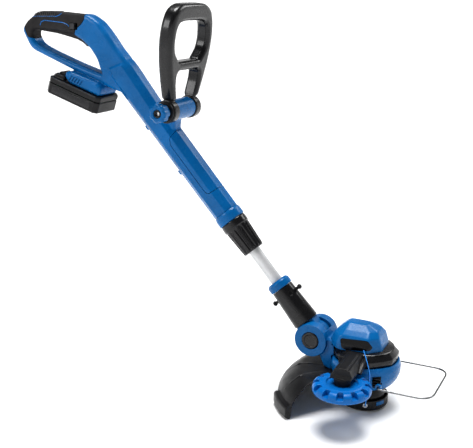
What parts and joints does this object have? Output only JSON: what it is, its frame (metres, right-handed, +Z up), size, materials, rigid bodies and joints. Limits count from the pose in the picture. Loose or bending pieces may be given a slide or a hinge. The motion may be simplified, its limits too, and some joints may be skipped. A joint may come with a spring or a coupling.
{
  "type": "cordless lawn edger",
  "caption": "Hand-held cordless lawn edger: looped rear grip over a slide-in battery, telescopic tube, tilting line-cutting head with guard, edging wheel and wire guard.",
  "frame": {"origin": "centre of the rear grip, on the middle plane", "axes": "+X forward towards the cutting head, +Y to the operator's left, +Z up with the tool held as in use, spool cap level"},
  "size_m": [0.8765, 0.2967, 0.7106],
  "materials": {
    "blue_plastic": "satin moulded",
    "bright_blue_plastic": "satin moulded",
    "black_plastic": "fine grain moulded",
    "gloss_black_plastic": "gloss",
    "black_rubber": "soft overmould",
    "aluminium_tube": "satin anodised",
    "steel": "zinc plated",
    "brass_contacts": "plain",
    "cell_wrap": "shrink film",
    "nylon_line": "extruded"
  },
  "bodies": {
    "main_housing": {"housing_left": "blue_plastic", "housing_right": "blue_plastic", "grip_pad_left": "black_rubber", "grip_pad_right": "black_rubber", "shaft_cover": "blue_plastic", "housing_screw_1": "steel", "housing_screw_2": "steel", "housing_screw_3": "steel", "housing_screw_4": "steel", "trigger_switch": "black_plastic", "terminal_block": "brass_contacts", "handle_bolt": "steel", "end_collar": "blue_plastic", "tube_bush": "black_plastic"},
    "trigger": {"trigger": "black_rubber"},
    "lock_off": {"lock_off_button": "black_rubber"},
    "battery_pack": {"battery_base": "black_plastic", "battery_top": "black_plastic", "battery_terminals": "brass_contacts", "battery_cell_1": "cell_wrap", "battery_cell_2": "cell_wrap", "battery_cell_3": "cell_wrap", "battery_cell_4": "cell_wrap", "battery_cell_5": "cell_wrap"},
    "battery_release": {"battery_release_button": "black_plastic"},
    "front_handle": {"front_handle": "black_plastic"},
    "star_knob": {"star_knob": "blue_plastic", "knob_washer": "black_plastic"},
    "twist_collar": {"twist_collar": "black_plastic"},
    "shaft_tube": {"shaft_tube": "aluminium_tube"},
    "release_ring": {"release_ring": "blue_plastic"},
    "sleeve": {"lower_sleeve": "black_plastic", "sleeve_pin_front": "black_plastic", "sleeve_pin_rear": "black_plastic", "pivot_knuckle": "blue_plastic"},
    "head": {"neck_left": "blue_plastic", "neck_right": "blue_plastic", "tilt_pin": "steel", "lower_body": "blue_plastic", "motor_band": "black_plastic", "motor_cover": "blue_plastic", "badge_plate": "gloss_black_plastic", "motor": "steel", "guard": "black_plastic", "guard_screw_1": "steel", "guard_screw_2": "steel", "line_cutter": "steel", "wheel_bracket": "black_plastic", "wheel_axle": "steel"},
    "pivot_button": {"pivot_button": "black_plastic"},
    "edge_wheel": {"edge_wheel": "bright_blue_plastic"},
    "wire_guard": {"wire_guard": "steel"},
    "spool": {"spool_cap": "black_plastic", "line_eyelet": "steel", "spool_reel": "black_plastic", "line_winding": "nylon_line", "spool_spring": "steel", "spool_carrier": "black_plastic", "motor_shaft": "steel", "cutting_line": "nylon_line"}
  },
  "joints": [
    {"name": "trigger_pull", "type": "hinge", "parent": "main_housing", "child": "trigger", "pos_m": [-0.041, 0, -0.015], "axis": [0, -1, 0], "range_deg": [0, 6], "stiffness_Nm_per_rad": 0.6, "springref_deg": -6.88},
    {"name": "lock_off_press", "type": "slide", "parent": "main_housing", "child": "lock_off", "axis": [0, 1, 0], "range_m": [0, 0.0025], "stiffness_N_per_m": 400, "springref_m": -0.001},
    {"name": "battery_slide", "type": "slide", "parent": "main_housing", "child": "battery_pack", "axis": [-0.9519, 0, 0.3065], "range_m": [0, 0.1]},
    {"name": "battery_release_press", "type": "slide", "parent": "battery_pack", "child": "battery_release", "axis": [-0.3065, 0, -0.9519], "range_m": [0, 0.0025], "stiffness_N_per_m": 600, "springref_m": -0.001},
    {"name": "front_handle_swing", "type": "hinge", "parent": "main_housing", "child": "front_handle", "pos_m": [0.26565, 0, -0.15185], "axis": [0, 1, 0], "range_deg": [-35, 45]},
    {"name": "star_knob_turn", "type": "hinge", "parent": "main_housing", "child": "star_knob", "pos_m": [0.26565, 0, -0.15185], "axis": [0, 1, 0], "continuous": true},
    {"name": "twist_collar_turn", "type": "hinge", "parent": "main_housing", "child": "twist_collar", "pos_m": [0.5572, 0, -0.5525], "axis": [-0.6665, 0, 0.7455], "range_deg": [0, 60]},
    {"name": "shaft_slide", "type": "slide", "parent": "main_housing", "child": "shaft_tube", "axis": [0.6665, 0, -0.7455], "range_m": [-0.06, 0.2]},
    {"name": "release_ring_slide", "type": "slide", "parent": "shaft_tube", "child": "release_ring", "axis": [-0.6665, 0, 0.7455], "range_m": [0, 0.008], "stiffness_N_per_m": 300, "springref_m": -0.002},
    {"name": "sleeve_turn", "type": "hinge", "parent": "shaft_tube", "child": "sleeve", "pos_m": [0.5572, 0, -0.5525], "axis": [-0.6665, 0, 0.7455], "range_deg": [0, 180]},
    {"name": "head_tilt", "type": "hinge", "parent": "sleeve", "child": "head", "pos_m": [0.5572, 0, -0.5525], "axis": [0, 1, 0], "range_deg": [-30, 45]},
    {"name": "pivot_button_press", "type": "slide", "parent": "head", "child": "pivot_button", "axis": [0, 1, 0], "range_m": [0, 0.004], "stiffness_N_per_m": 500, "springref_m": -0.001},
    {"name": "edge_wheel_spin", "type": "hinge", "parent": "head", "child": "edge_wheel", "pos_m": [0.6494, -0.117, -0.667], "axis": [0, 0, 1], "continuous": true},
    {"name": "wire_guard_swing", "type": "hinge", "parent": "head", "child": "wire_guard", "pos_m": [0.697, 0, -0.6034], "axis": [0, -1, 0], "range_deg": [0, 95]},
    {"name": "spool_spin", "type": "hinge", "parent": "head", "child": "spool", "pos_m": [0.655, 0, -0.667], "axis": [0, 0, 1], "continuous": true, "deforming": ["cutting_line"]}
  ]
}
